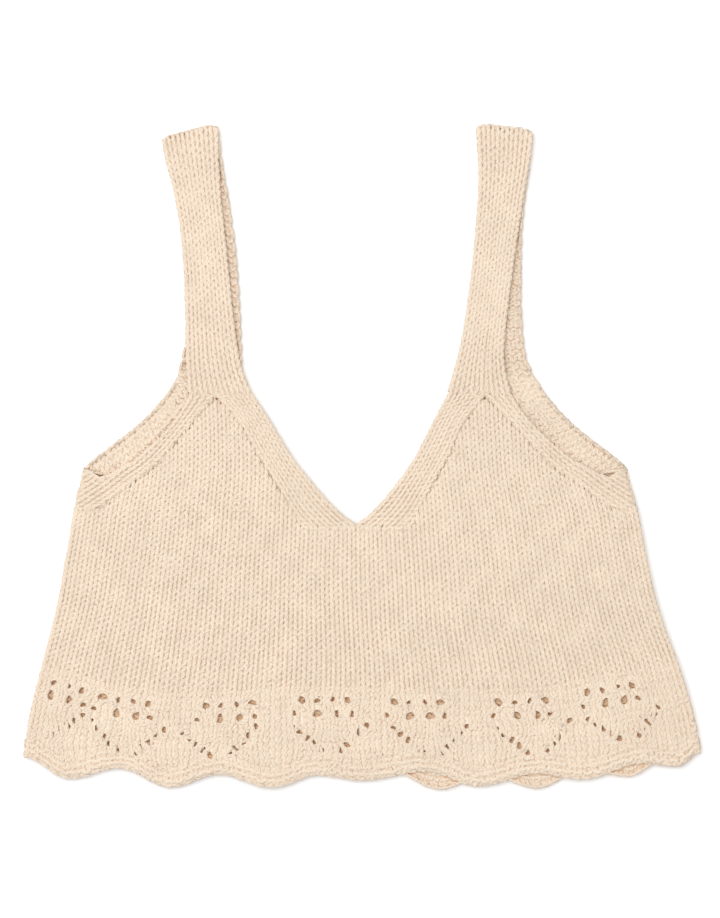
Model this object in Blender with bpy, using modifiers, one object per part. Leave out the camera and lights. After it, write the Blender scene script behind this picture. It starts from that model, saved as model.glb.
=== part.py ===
"""A knit cami top, laid flat with its front up: chunky cotton stockinette with a lace border.

The front lies on the back, and each strap folds over at the shoulder from front to back.
Sizes are millimetres on the laid garment, and the meshes are metres. "Out" is measured sideways
from the garment's centre line, and "up" from the middle of its height towards the shoulders.
Left and right are as seen from above, side -1 and side 1.
"""

from bisect import bisect_right
from collections import namedtuple
from math import cos, hypot, pi, sin, sqrt

import bmesh
import bpy

MM = 0.001

WALL = 3.2  # thickness of the chunky stockinette
SEAM_GAP = 0.3  # between knitted pieces, and between the front and the back
ROLL = 2.6  # how far in from a free edge or a side seam the cloth rounds off
LIP = 0.25  # share of the wall that is left at such an edge

BACK_INSIDE = WALL  # the back lies on the floor, from 0 to here
FRONT_INSIDE = WALL + SEAM_GAP
FOLD_HEIGHT = WALL + SEAM_GAP / 2
FOLD_RADIUS = (WALL + SEAM_GAP) / 2

# How the garment lies: half its width, and where its front's and its back's centre lines run.
Lie = namedtuple("Lie", "up half_width front_centre back_centre")
BODY_LIE = (
    Lie(-196, 226.0, 0.0, 0.0),
    Lie(-176, 222.8, -0.6, -0.6),
    Lie(-156, 218.0, -1.4, -1.4),
    Lie(-136, 212.0, -2.0, -2.0),
    Lie(-116, 205.4, -3.0, -3.0),
    Lie(-96, 200.2, -3.6, -3.6),
    Lie(-76, 196.2, -4.2, -4.2),
    Lie(-56, 192.0, -4.4, -4.4),
    Lie(-36, 188.2, -4.7, -4.6),
    Lie(-10, 181.5, -5.6, -4.9),
    Lie(15, 180.0, -6.8, -4.8),
    Lie(52, 180.0, -8.8, -4.3),
)

# The seam between body and lace border, and how much higher it lies across the hem.
BORDER_SEAM_UP = -156.5
Lift = namedtuple("Lift", "across rise")
SEAM_LIFT = (
    Lift(-1.0, 17.0),
    Lift(-0.9, 12.0),
    Lift(-0.79, 4.7),
    Lift(-0.67, 0.7),
    Lift(-0.57, -2.0),
    Lift(-0.38, -0.5),
    Lift(-0.2, 2.5),
    Lift(0.2, 0.8),
    Lift(0.54, 2.0),
    Lift(0.7, 8.0),
    Lift(0.84, 12.7),
    Lift(1.0, 16.0),
)

# Bands from the side seam, or from the point of the V, up to the strap: a row for each
# section, from the free edge to the furrow of decreases where the band joins the body.
Section = namedtuple("Section", "edge_out edge_up furrow_out furrow_up")
SIDE_SEAM_TOP = -8.0
SIDE_SEAM_FOOT = -36.5

FRONT_ARMHOLE = (
    Section(171.0, -14.4, 171.0, -33.0),
    Section(164.5, -12.8, 161.0, -26.5),
    Section(156.5, -8.0, 151.0, -18.5),
    Section(146.5, -2.0, 142.0, -12.0),
    Section(138.0, 5.3, 132.5, -4.5),
    Section(130.3, 11.7, 124.0, 4.5),
    Section(121.5, 21.0, 114.5, 15.0),
    Section(114.0, 30.8, 104.0, 27.0),
    Section(108.4, 41.2, 90.2, 41.3),
)
FRONT_NECK = (
    Section(0.15, -45.6, 0.15, -49.0),
    Section(6.5, -41.5, 18.0, -49.0),
    Section(14.0, -34.5, 36.4, -49.0),
    Section(21.0, -27.0, 39.8, -39.5),
    Section(29.7, -16.4, 46.5, -28.0),
    Section(40.0, -3.0, 56.0, -11.5),
    Section(48.2, 11.0, 64.5, 3.0),
    Section(56.5, 26.0, 75.0, 23.0),
    Section(65.4, 41.2, 89.8, 41.3),
)
BACK_ARMHOLE = (
    Section(177.0, -3.5, 171.0, -30.0),
    Section(167.3, 4.1, 161.0, -19.5),
    Section(157.4, 11.3, 151.0, -9.0),
    Section(146.0, 20.5, 141.0, 0.5),
    Section(135.5, 30.8, 127.0, 14.0),
    Section(127.0, 41.0, 112.0, 31.0),
    Section(120.5, 51.2, 98.2, 51.3),
)
BACK_NECK = (
    Section(0.15, -48.5, 0.15, -52.0),
    Section(8.5, -43.0, 19.0, -52.0),
    Section(17.0, -34.5, 38.0, -52.0),
    Section(25.0, -26.0, 42.0, -41.5),
    Section(34.0, -15.5, 50.0, -27.5),
    Section(44.0, -3.0, 60.0, -10.5),
    Section(54.0, 12.0, 70.5, 7.0),
    Section(66.0, 33.0, 84.0, 30.0),
    Section(75.6, 51.2, 97.8, 51.3),
)

# The scalloped hem, as its tips and hollows from side to side.
Turn = namedtuple("Turn", "across up")
FRONT_HEM = (
    Turn(-1.0, -201.0),
    Turn(-0.869, -215.4),
    Turn(-0.724, -208.0),
    Turn(-0.57, -221.2),
    Turn(-0.43, -212.4),
    Turn(-0.27, -221.6),
    Turn(-0.136, -213.2),
    Turn(0.0, -216.6),
    Turn(0.187, -210.4),
    Turn(0.344, -220.6),
    Turn(0.516, -212.0),
    Turn(0.647, -216.0),
    Turn(0.831, -205.2),
    Turn(0.935, -207.4),
    Turn(1.0, -198.0),
)
BACK_HEM = (
    Turn(-1.0, -198.0),
    Turn(-0.93, -200.5),
    Turn(-0.807, -199.0),
    Turn(-0.66, -205.5),
    Turn(-0.51, -201.0),
    Turn(-0.36, -208.5),
    Turn(-0.21, -205.0),
    Turn(-0.065, -213.0),
    Turn(0.083, -210.0),
    Turn(0.228, -222.4),
    Turn(0.371, -213.0),
    Turn(0.516, -221.8),
    Turn(0.653, -210.0),
    Turn(0.786, -214.0),
    Turn(0.9, -202.0),
    Turn(1.0, -197.0),
)

# The garter edge of the lace border: its ridges lie side by side along the hem.
GARTER_EDGE = 13.0
GARTER_RIDGE = GARTER_EDGE / 3
BETWEEN_RIDGES = 0.2  # share of the wall that is missing between two ridges

# The leaves of eyelets: where their points stand along the hem, and how far their tops lean.
Leaf = namedtuple("Leaf", "across lean")
FRONT_LEAVES = (
    Leaf(-0.95, 6.0),
    Leaf(-0.7, -3.5),
    Leaf(-0.424, 5.0),
    Leaf(-0.094, -3.3),
    Leaf(0.207, -8.0),
    Leaf(0.516, -5.5),
    Leaf(0.794, -6.0),
)
BACK_LEAVES = (
    Leaf(-0.86, 0.0),
    Leaf(-0.56, 3.0),
    Leaf(-0.27, 5.0),
    Leaf(0.04, 4.0),
    Leaf(0.35, 6.0),
    Leaf(0.645, 4.0),
    Leaf(0.91, 0.0),
)

# One leaf from its point: two rows of eyelets at its top, and a chevron of them below.
FIRST_EYELETS_DOWN = 9.0  # from the border's seam
LEANING_DEPTH = 12.0  # the rows above this depth lean with the leaf's top
OUTERMOST_EYELET = 0.955
EYELET_SIDES = 6
CUT_THROUGH_FROM = 4.0  # narrower eyelets close up between the stitches
Eyelet = namedtuple("Eyelet", "out down width")
LEAF_EYELETS = (
    Eyelet(-16.0, 0.0, 5.0),
    Eyelet(-5.5, 0.5, 3.2),
    Eyelet(5.0, 0.0, 3.2),
    Eyelet(15.5, 0.0, 4.6),
    Eyelet(-21.0, 9.0, 2.8),
    Eyelet(-5.5, 9.0, 5.2),
    Eyelet(8.0, 9.0, 5.2),
    Eyelet(17.5, 9.0, 3.4),
    Eyelet(-25.5, 17.5, 2.8),
    Eyelet(-20.8, 21.5, 3.6),
    Eyelet(-16.0, 25.5, 3.6),
    Eyelet(-11.4, 29.5, 3.8),
    Eyelet(-6.7, 33.5, 4.2),
    Eyelet(24.0, 16.0, 3.4),
    Eyelet(19.5, 21.0, 4.4),
    Eyelet(15.0, 25.5, 4.6),
    Eyelet(10.7, 29.5, 4.2),
    Eyelet(7.0, 33.5, 3.4),
)

# Straps from the front's bands to the fold, and from the fold down to the back's bands.
Line = namedtuple("Line", "left_x left_up right_x right_up")
STRAPS = {
    "strap_left": {
        "front": (
            Line(-117.0, 41.6, -74.2, 41.6),
            Line(-118.0, 58.0, -80.6, 57.0),
            Line(-118.4, 76.0, -84.4, 75.0),
            Line(-118.6, 100.0, -87.4, 98.0),
            Line(-119.6, 126.0, -90.0, 124.0),
            Line(-121.8, 152.0, -92.8, 151.0),
            Line(-126.2, 177.0, -95.6, 178.0),
            Line(-131.4, 197.0, -96.5, 201.0),
        ),
        "fold": Line(-134.3, 210.0, -96.8, 219.2),
        "back": (
            Line(-131.0, 195.0, -94.6, 199.0),
            Line(-124.0, 172.0, -90.6, 175.0),
            Line(-118.8, 146.0, -86.4, 146.0),
            Line(-116.5, 113.0, -83.4, 113.0),
            Line(-117.8, 82.0, -81.7, 80.0),
            Line(-121.4, 65.0, -81.0, 65.0),
            Line(-124.8, 51.6, -79.9, 51.6),
        ),
    },
    "strap_right": {
        "front": (
            Line(56.8, 41.6, 99.6, 41.6),
            Line(61.4, 57.0, 95.6, 57.0),
            Line(65.4, 72.0, 94.4, 72.0),
            Line(69.4, 94.0, 96.2, 93.0),
            Line(72.8, 119.0, 99.4, 119.0),
            Line(75.6, 147.0, 103.2, 146.0),
            Line(77.8, 176.0, 107.6, 174.0),
            Line(77.6, 199.0, 111.6, 196.0),
        ),
        "fold": Line(76.2, 218.8, 114.0, 214.8),
        "back": (
            Line(79.0, 197.0, 112.0, 195.0),
            Line(78.0, 176.0, 108.8, 175.0),
            Line(76.0, 147.0, 106.4, 147.0),
            Line(75.0, 119.0, 106.0, 119.0),
            Line(75.4, 92.0, 106.4, 92.0),
            Line(74.6, 68.0, 109.2, 68.0),
            Line(71.3, 51.6, 116.2, 51.6),
        ),
    },
}

STEPS_PER_SECTION = 2
FOLD_STEPS = 6
HEM_COLUMNS = 84
BODY_ROWS = (0.0, 0.25, 0.5, 0.75, 1.0)
ACROSS_A_BAND = (0.0, 0.06, 0.16, 1.0)
ACROSS_A_STRAP = (0.0, 0.035, 0.09, 0.5, 0.91, 0.965, 1.0)
NEAR_A_SIDE = (0.03, 0.08, 0.16, 0.45)  # extra sections where a band rounds into the side seam


def smooth(keys, values, where):
    """The value at a place on the smooth curve through the points (keys, values)."""
    where = min(max(where, keys[0]), keys[-1])
    i = min(bisect_right(keys, where), len(keys) - 1) - 1

    def slope(j):
        before, after = max(j - 1, 0), min(j + 1, len(keys) - 1)
        return (values[after] - values[before]) / (keys[after] - keys[before])

    step, rise = keys[i + 1] - keys[i], values[i + 1] - values[i]
    t = (where - keys[i]) / step
    start, end = slope(i) * step, slope(i + 1) * step
    return values[i] + t * (start + t * (3 * rise - 2 * start - end + t * (start + end - 2 * rise)))


def read(table, column, where):
    """A table's column, read smoothly at a value of the table's first column."""
    return smooth([row[0] for row in table], [getattr(row, column) for row in table], where)


def half_width(up):
    return read(BODY_LIE, "half_width", up)


def rolled(distance):
    """The share of the wall that is left this far in from a free edge or a side seam."""
    if distance >= ROLL:
        return 1.0
    return LIP + (1 - LIP) * sqrt(1 - (1 - max(distance, 0) / ROLL) ** 2)


def garter(above_hem):
    """The share of the wall that is left by the furrows between the ridges of the garter edge."""
    if above_hem > GARTER_EDGE + GARTER_RIDGE / 2:
        return 1.0
    return 1 - BETWEEN_RIDGES * (1 + cos(2 * pi * above_hem / GARTER_RIDGE)) / 2


class Layer:
    """The front or the back: its centre line, its tables and where its inside lies."""

    def __init__(self, name, centre, inside, faces_up, armhole, neck, hem, leaves):
        self.name, self.centre_column = name, centre
        self.inside, self.faces_up = inside, faces_up
        self.neck, self.hem, self.leaves = neck, hem, leaves
        seam = Section(
            half_width(SIDE_SEAM_TOP), SIDE_SEAM_TOP, half_width(SIDE_SEAM_FOOT), SIDE_SEAM_FOOT
        )
        self.armhole = (seam, *armhole)
        self.base_across = self.across_of(neck[2])
        self.apex_across = (self.across_of(neck[-1]) + self.across_of(armhole[-1])) / 2

    @staticmethod
    def across_of(section):
        return section.furrow_out / half_width(section.furrow_up)

    def place(self, across, up):
        """A point of the layer, across from -1 to 1 between its sides."""
        return read(BODY_LIE, self.centre_column, up) + across * half_width(up)

    def furrow(self, across, shift=0.0):
        """How far up the body reaches at this place across, and shift more along its slope."""
        across = abs(across)

        def line(at):
            if at <= self.base_across:
                return self.neck[0].furrow_up
            rows = self.neck[2:] if at < self.apex_across else self.armhole[::-1]
            keys = [self.across_of(row) for row in rows]
            return smooth(keys, [row.furrow_up for row in rows], at)

        step = 0.004
        fall = (line(min(across + step, 1)) - line(across - step)) / (2 * step)
        slope = fall / half_width(line(across))
        return line(across) + shift * hypot(1, slope)

    def band_sections(self, rows):
        """Steps along a band, and at each where its edge and its furrow lie."""
        steps = [i / STEPS_PER_SECTION for i in range(STEPS_PER_SECTION * (len(rows) - 1) + 1)]
        if rows is self.armhole:
            steps = sorted({*steps, *NEAR_A_SIDE} - {0.5})
        index = list(range(len(rows)))
        keys = [self.across_of(row) for row in rows]
        return [
            (
                smooth(index, [row.edge_out for row in rows], step),
                smooth(index, [row.edge_up for row in rows], step),
                smooth(index, keys, step),
            )
            for step in steps
        ]

    def body_columns(self):
        """The body's columns end where the bands' sections do, so that they fit each other."""
        ends = [furrow for rows in (self.neck, self.armhole) for *_, furrow in self.band_sections(rows)]
        half = sorted({round(end, 5) for end in ends if end > 0.01})
        return [-end for end in half[::-1]] + [0.0] + half

    def border_seam(self, across):
        return BORDER_SEAM_UP + read(SEAM_LIFT, "rise", across)

    def hem_up(self, across):
        """The scalloped hem, in even waves between its tips and hollows."""
        keys = [turn.across for turn in self.hem]
        i = min(bisect_right(keys, across), len(keys) - 1) - 1
        start, end = self.hem[i], self.hem[i + 1]
        t = (across - start.across) / (end.across - start.across)
        return start.up + (end.up - start.up) * (1 - cos(pi * t)) / 2


FRONT = Layer(
    "front", "front_centre", FRONT_INSIDE, True, FRONT_ARMHOLE, FRONT_NECK, FRONT_HEM, FRONT_LEAVES
)
BACK = Layer("back", "back_centre", BACK_INSIDE, False, BACK_ARMHOLE, BACK_NECK, BACK_HEM, BACK_LEAVES)


def cotton(name, colour):
    """Matt undyed cotton yarn."""
    material = bpy.data.materials.new(name)
    material.use_nodes = True
    shader = material.node_tree.nodes["Principled BSDF"]
    shader.inputs["Base Color"].default_value = (*colour, 1)
    shader.inputs["Roughness"].default_value = 0.92
    shader.inputs["Metallic"].default_value = 0.0
    shader.inputs["Sheen Weight"].default_value = 0.3
    return material


def knit(name, across, along, place, inside_first, offset, colour):
    """A wall of knit: a grid laid out by place, then thickened, less where it rolls off.

    place gives a grid point in millimetres and the share of the wall that it has there.
    """
    bm = bmesh.new()
    bmesh.ops.create_grid(bm, x_segments=len(across) - 1, y_segments=len(along) - 1, size=0.5)
    shares = {}
    for index, vert in enumerate(bm.verts):
        a = across[round((vert.co.x + 0.5) * (len(across) - 1))]
        b = along[round((vert.co.y + 0.5) * (len(along) - 1))]
        *point, share = place(a, b)
        vert.co = [value * MM for value in point]
        shares.setdefault(round(share, 3), []).append(index)
    if inside_first:
        bmesh.ops.reverse_faces(bm, faces=bm.faces)
    mesh = bpy.data.meshes.new(name)
    bm.to_mesh(mesh)
    bm.free()
    mesh.materials.append(cotton(name + "_cotton", colour))
    piece = bpy.data.objects.new(name, mesh)
    garment.objects.link(piece)
    group = piece.vertex_groups.new(name="wall")
    for share, indices in shares.items():
        group.add(indices, share, "REPLACE")
    wall = piece.modifiers.new("Wall", "SOLIDIFY")
    wall.thickness = WALL * MM
    wall.offset = offset
    wall.vertex_group = "wall"
    return piece


def add_body(layer, colour):
    """The stockinette panel between the lace border and the bands."""

    def place(across, share_up):
        low = layer.border_seam(across) + SEAM_GAP / 2
        up = low + share_up * (layer.furrow(across, -SEAM_GAP / 2) - low)
        return layer.place(across, up), up, layer.inside, rolled((1 - abs(across)) * half_width(up))

    columns = layer.body_columns()
    knit(layer.name + "_body", columns, BODY_ROWS, place, not layer.faces_up, 1, colour)


def add_band(layer, kind, side, colour):
    """A neck or armhole band, rolled at its free edge and set 0.3 mm off the body's furrow."""
    sections = layer.band_sections(getattr(layer, kind))

    def place(share, section):
        edge_out, edge_up, furrow_across = section
        furrow_up = layer.furrow(furrow_across, SEAM_GAP / 2)
        furrow_out = furrow_across * half_width(furrow_up)
        up = edge_up + share * (furrow_up - edge_up)
        out = edge_out + share * (furrow_out - edge_out)
        width = hypot(furrow_out - edge_out, furrow_up - edge_up)
        from_side = half_width(up) - out
        wall = rolled(share * width) * (rolled(from_side) if kind == "armhole" else 1)
        x = read(BODY_LIE, layer.centre_column, up) + side * out
        return x, up, layer.inside, max(wall, LIP / 2)

    side_name = "left" if side < 0 else "right"
    name = f"{layer.name}_{kind}_band_{side_name}"
    across_mirrors = (side < 0) == (kind == "neck")
    inside_first = across_mirrors == layer.faces_up
    knit(name, ACROSS_A_BAND, sections, place, inside_first, 1, colour)


def add_lace_border(layer, colour):
    """The lace border, scalloped at the hem, with the widest eyelets cut through."""
    scallops = [2 * i / HEM_COLUMNS - 1 for i in range(1, HEM_COLUMNS)]
    rounding = [1 - distance / half_width(-176) for distance in (0.0, 0.5, 1.4)]
    columns = sorted({*scallops, *rounding, *[-end for end in rounding]})
    if layer.faces_up:
        rows = (0.0, 0.6, *(i * GARTER_RIDGE / 2 for i in range(1, 8)))
    else:
        rows = (0.0, 0.6, ROLL, GARTER_EDGE)  # its garter ridges are pressed flat under it

    def place(across, above_hem):
        hem, seam = layer.hem_up(across), layer.border_seam(across) - SEAM_GAP / 2
        up = hem + above_hem if above_hem is not None else seam
        from_side = (1 - abs(across)) * half_width(up)
        wall = rolled(up - hem) * rolled(from_side)
        if layer.faces_up:
            wall *= garter(up - hem)
        return layer.place(across, up), up, layer.inside, max(wall, LIP / 2)

    piece = knit(
        layer.name + "_lace_border", columns, (*rows, None), place, not layer.faces_up, 1, colour
    )
    cutter = piece.modifiers.new("Eyelets", "BOOLEAN")
    cutter.object = add_eyelet_cutter(layer)


def add_eyelet_cutter(layer):
    """Prisms through the border where the eyelets of its leaves are wide enough."""
    bm = bmesh.new()
    for leaf in layer.leaves:
        for eyelet in LEAF_EYELETS:
            lean = leaf.lean if eyelet.down < LEANING_DEPTH else 0.0
            depth = FIRST_EYELETS_DOWN + eyelet.down
            across = leaf.across + (lean + eyelet.out) / half_width(BORDER_SEAM_UP - depth)
            up = layer.border_seam(across) - depth
            if eyelet.width < CUT_THROUGH_FROM or abs(across) > OUTERMOST_EYELET:
                continue
            prism = bmesh.ops.create_cone(
                bm,
                cap_ends=True,
                segments=EYELET_SIDES,
                radius1=eyelet.width / 2 * MM,
                radius2=eyelet.width / 2 * MM,
                depth=3 * WALL * MM,
            )
            centre = [layer.place(across, up) * MM, up * MM, layer.inside * MM]
            bmesh.ops.translate(bm, verts=prism["verts"], vec=centre)
    mesh = bpy.data.meshes.new(layer.name + "_eyelets")
    bm.to_mesh(mesh)
    bm.free()
    cutter = bpy.data.objects.new(layer.name + "_eyelets", mesh)
    cutters.objects.link(cutter)
    cutter.hide_render = True
    cutter.display_type = "WIRE"
    return cutter


def strap_run(lines):
    """Lines across a strap at even steps between its measured ones."""
    index = list(range(len(lines)))
    steps = [i / STEPS_PER_SECTION for i in range(STEPS_PER_SECTION * (len(lines) - 1) + 1)]
    return [
        Line(*(smooth(index, [getattr(line, end) for line in lines], step) for end in Line._fields))
        for step in steps
    ]


def add_strap(name, runs, colour):
    """A strap: up the front, half round at the shoulder fold, and down the back."""
    fold = runs["fold"]
    length = hypot(fold.right_x - fold.left_x, fold.right_up - fold.left_up)
    ahead_x = -(fold.right_up - fold.left_up) / length
    ahead_up = (fold.right_x - fold.left_x) / length

    stations = [(line, 0.0) for line in strap_run((*runs["front"], fold))]
    stations += [(fold, pi * i / FOLD_STEPS) for i in range(1, FOLD_STEPS)]
    stations += [(line, pi) for line in strap_run((fold, *runs["back"]))]

    def place(share, station):
        line, turn = station
        x = line.left_x + share * (line.right_x - line.left_x)
        up = line.left_up + share * (line.right_up - line.left_up)
        width = hypot(line.right_x - line.left_x, line.right_up - line.left_up)
        bulge = FOLD_RADIUS * sin(turn)
        height = FOLD_HEIGHT + FOLD_RADIUS * cos(turn)
        wall = rolled(min(share, 1 - share) * width)
        return x + bulge * ahead_x, up + bulge * ahead_up, height, wall

    knit(name, ACROSS_A_STRAP, stations, place, False, 0, colour)


for old in list(bpy.data.objects):
    bpy.data.objects.remove(old, do_unlink=True)
garment = bpy.data.collections.new("knit_cami_top")
cutters = bpy.data.collections.new("cutters")
for collection in (garment, cutters):
    bpy.context.scene.collection.children.link(collection)

CREAM = (0.84, 0.69, 0.53)
PALE_CREAM = (0.86, 0.73, 0.59)
INNER_CREAM = (0.80, 0.65, 0.49)

add_body(BACK, INNER_CREAM)
add_lace_border(BACK, INNER_CREAM)
add_body(FRONT, CREAM)
add_lace_border(FRONT, CREAM)
for side in (-1, 1):
    for kind in ("neck", "armhole"):
        add_band(BACK, kind, side, INNER_CREAM)
        add_band(FRONT, kind, side, PALE_CREAM)
for name, runs in STRAPS.items():
    add_strap(name, runs, PALE_CREAM)
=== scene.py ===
"""A hand knitted cami top in chunky undyed cotton, laid out flat with its front up.

Every stitch is modelled: each course is one length of yarn, looped through the courses beside
it, on a thin ground where the loops cross. Lengths are millimetres until a mesh is made. "Out"
is measured sideways from the top's centre line and "up" towards the shoulders. Columns of
stitches are counted from the left as seen from above, or in the bands from their free edge, and
rows in the order they are knitted.
"""

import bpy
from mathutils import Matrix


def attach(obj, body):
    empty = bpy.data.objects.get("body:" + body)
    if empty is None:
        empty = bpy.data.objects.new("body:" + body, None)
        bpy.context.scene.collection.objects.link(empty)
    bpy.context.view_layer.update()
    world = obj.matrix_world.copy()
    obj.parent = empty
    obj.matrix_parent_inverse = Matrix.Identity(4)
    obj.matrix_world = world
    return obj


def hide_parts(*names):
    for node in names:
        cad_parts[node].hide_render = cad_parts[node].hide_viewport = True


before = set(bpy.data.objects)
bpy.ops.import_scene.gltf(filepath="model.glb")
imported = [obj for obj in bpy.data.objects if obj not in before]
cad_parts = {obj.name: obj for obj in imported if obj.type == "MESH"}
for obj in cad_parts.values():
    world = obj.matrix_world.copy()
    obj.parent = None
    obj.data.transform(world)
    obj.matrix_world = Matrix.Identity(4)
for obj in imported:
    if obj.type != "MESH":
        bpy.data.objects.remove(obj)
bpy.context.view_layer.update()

from collections import namedtuple
from math import pi

import bmesh
import bpy
import numpy as np
from mathutils import Vector


# ---- The front and back bodies ---------------------------------------------------------------
# Two panels of plain stockinette in an aran weight cotton, 66 stitches wide, with the smooth side
# out. They are knitted upwards from the lace border and shaped by decreases along the furrows of
# the neck and the armholes. The back lies smooth side down under the front.

MM = 0.001
WALL = 3.2  # the cloth's thickness
LAYER_GAP = 0.3
BACK_INSIDE = WALL
FRONT_INSIDE = WALL + LAYER_GAP
CURL = 1.5  # how tightly the cloth curls at its free edges

COLUMNS = 66
ROW = 4.25
LEVEL_ROW = 28  # from here up the rows lie straight; below, they rise to the sides as the seam does

GROUND = 0.6  # thickness of the middle of the cloth, where the loops cross
YARN_WIDTH = 3.2
YARN_HEIGHT = 2.1
DRIFT = 0.2  # how far the stitches wander off their grid
LOOP_SWAY = 0.215  # columns that a loop's head and foot bulge sideways
LOOP_REACH = 0.88  # rows that a loop reaches above and below its course
LOOP_DEPTH = 0.55  # how far the legs stand out in front of the heads
UNEVENNESS = 0.18  # share by which the stitches' sizes vary
SPARE_SIZES = 3  # drawn for stitches past a row's last
THICK_AND_THIN = 0.07  # share by which the yarn itself varies
POINTS_A_STITCH = 10
YARN_SIDES = 5
MAP_MARGIN = 0.04  # share of a strip of the yarn's map that is left clear on either side of it
WELD = 0.01  # points of a solid that lie nearer than this are one point

Lie = namedtuple("Lie", "up half_width front_centre back_centre")
BODY_LIE = (
    Lie(-196, 226.0, 0.0, 0.0),
    Lie(-176, 222.8, -0.6, -0.6),
    Lie(-156, 218.0, -1.4, -1.4),
    Lie(-136, 212.0, -2.0, -2.0),
    Lie(-116, 205.4, -3.0, -3.0),
    Lie(-96, 200.2, -3.6, -3.6),
    Lie(-76, 196.2, -4.2, -4.2),
    Lie(-56, 192.0, -4.4, -4.4),
    Lie(-36, 188.2, -4.7, -4.6),
    Lie(-10, 181.5, -5.6, -4.9),
    Lie(15, 180.0, -6.8, -4.8),
    Lie(52, 180.0, -8.8, -4.3),
)

# The seam between body and lace border, and how much higher it lies across the hem.
BORDER_SEAM_UP = -156.5
Lift = namedtuple("Lift", "across rise")
SEAM_LIFT = (
    Lift(-1.0, 17.0),
    Lift(-0.9, 12.0),
    Lift(-0.79, 4.7),
    Lift(-0.67, 0.7),
    Lift(-0.57, -2.0),
    Lift(-0.38, -0.5),
    Lift(-0.2, 2.5),
    Lift(0.2, 0.8),
    Lift(0.54, 2.0),
    Lift(0.7, 8.0),
    Lift(0.84, 12.7),
    Lift(1.0, 16.0),
)

# Bands from the side seam, or from the point of the V, up to the strap: a row for each
# section, from the free edge to the furrow of decreases where the band joins the body.
NECK_SLOPES_FROM = 2  # the neck's section up to which the furrow lies level along the V's bottom
FURROW_STEPS = 8  # between one section and the next
Section = namedtuple("Section", "edge_out edge_up furrow_out furrow_up")
FRONT_ARMHOLE = (
    Section(180.9, -8.0, 188.3, -36.5),
    Section(171.0, -14.4, 171.0, -33.0),
    Section(164.5, -12.8, 161.0, -26.5),
    Section(156.5, -8.0, 151.0, -18.5),
    Section(146.5, -2.0, 142.0, -12.0),
    Section(138.0, 5.3, 132.5, -4.5),
    Section(130.3, 11.7, 124.0, 4.5),
    Section(121.5, 21.0, 114.5, 15.0),
    Section(114.0, 30.8, 104.0, 27.0),
    Section(108.4, 41.2, 90.2, 41.3),
)
FRONT_NECK = (
    Section(0.15, -45.6, 0.15, -49.0),
    Section(6.5, -41.5, 18.0, -49.0),
    Section(14.0, -34.5, 36.4, -49.0),
    Section(21.0, -27.0, 39.8, -39.5),
    Section(29.7, -16.4, 46.5, -28.0),
    Section(40.0, -3.0, 56.0, -11.5),
    Section(48.2, 11.0, 64.5, 3.0),
    Section(56.5, 26.0, 75.0, 23.0),
    Section(65.4, 41.2, 89.8, 41.3),
)
BACK_ARMHOLE = (
    Section(180.9, -8.0, 188.3, -36.5),
    Section(177.0, -3.5, 171.0, -30.0),
    Section(167.3, 4.1, 161.0, -19.5),
    Section(157.4, 11.3, 151.0, -9.0),
    Section(146.0, 20.5, 141.0, 0.5),
    Section(135.5, 30.8, 127.0, 14.0),
    Section(127.0, 41.0, 112.0, 31.0),
    Section(120.5, 51.2, 98.2, 51.3),
)
BACK_NECK = (
    Section(0.15, -48.5, 0.15, -52.0),
    Section(8.5, -43.0, 19.0, -52.0),
    Section(17.0, -34.5, 38.0, -52.0),
    Section(25.0, -26.0, 42.0, -41.5),
    Section(34.0, -15.5, 50.0, -27.5),
    Section(44.0, -3.0, 60.0, -10.5),
    Section(54.0, 12.0, 70.5, 7.0),
    Section(66.0, 33.0, 84.0, 30.0),
    Section(75.6, 51.2, 97.8, 51.3),
)

# The front's smooth side faces up, side 1, and the back's faces down, side -1.
Layer = namedtuple("Layer", "name centre inside side neck armhole")
FRONT = Layer("front", "front_centre", FRONT_INSIDE, 1, FRONT_NECK, FRONT_ARMHOLE)
BACK = Layer("back", "back_centre", BACK_INSIDE, -1, BACK_NECK, BACK_ARMHOLE)


def smooth(keys, values, where):
    """Values at places on the smooth curve through the points (keys, values)."""
    keys, values = np.asarray(keys, float), np.asarray(values, float)
    before = np.r_[0, np.arange(len(keys) - 1)]
    after = np.r_[np.arange(1, len(keys)), len(keys) - 1]
    slopes = (values[after] - values[before]) / (keys[after] - keys[before])
    where = np.clip(where, keys[0], keys[-1])
    i = np.clip(np.searchsorted(keys, where, side="right") - 1, 0, len(keys) - 2)
    step, rise = keys[i + 1] - keys[i], values[i + 1] - values[i]
    t = (where - keys[i]) / step
    start, end = slopes[i] * step, slopes[i + 1] * step
    return values[i] + t * (start + t * (3 * rise - 2 * start - end + t * (start + end - 2 * rise)))


def read(table, column, where):
    """A table's column, read smoothly at values of the table's first column."""
    return smooth([row[0] for row in table], [getattr(row, column) for row in table], where)


def half_width(up):
    """Half the width of the top at a height."""
    return read(BODY_LIE, "half_width", up)


def border_seam(across):
    """The height of the seam between body and lace border."""
    return BORDER_SEAM_UP + read(SEAM_LIFT, "rise", across)


def furrow_line(layer):
    """The furrow of decreases from the centre line to the side, as (across, up) arrays."""
    fine = np.linspace(0, 1, FURROW_STEPS + 1)
    lines = []
    for rows in (layer.neck[NECK_SLOPES_FROM:], layer.armhole[::-1]):
        index = np.arange(len(rows))
        keys = [row.furrow_out / half_width(row.furrow_up) for row in rows]
        across = smooth(index, keys, (index[:-1, None] + fine).ravel())
        lines.append((across, smooth(keys, [row.furrow_up for row in rows], across)))
    return np.hstack([[[0.0], [layer.neck[0].furrow_up]], *lines])


def curl(distance):
    """A free edge's curl to the purl side: its drop, and the sine and cosine of its lean."""
    sine = np.clip(1 - distance / CURL, 0, 1)
    cosine = np.sqrt(1 - sine**2)
    return CURL * (1 - cosine), sine, cosine


def hollow(distance, depth, width):
    """A soft groove: how deep it is at this distance from its bottom."""
    return depth * np.exp(-((distance / width) ** 2))


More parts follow.
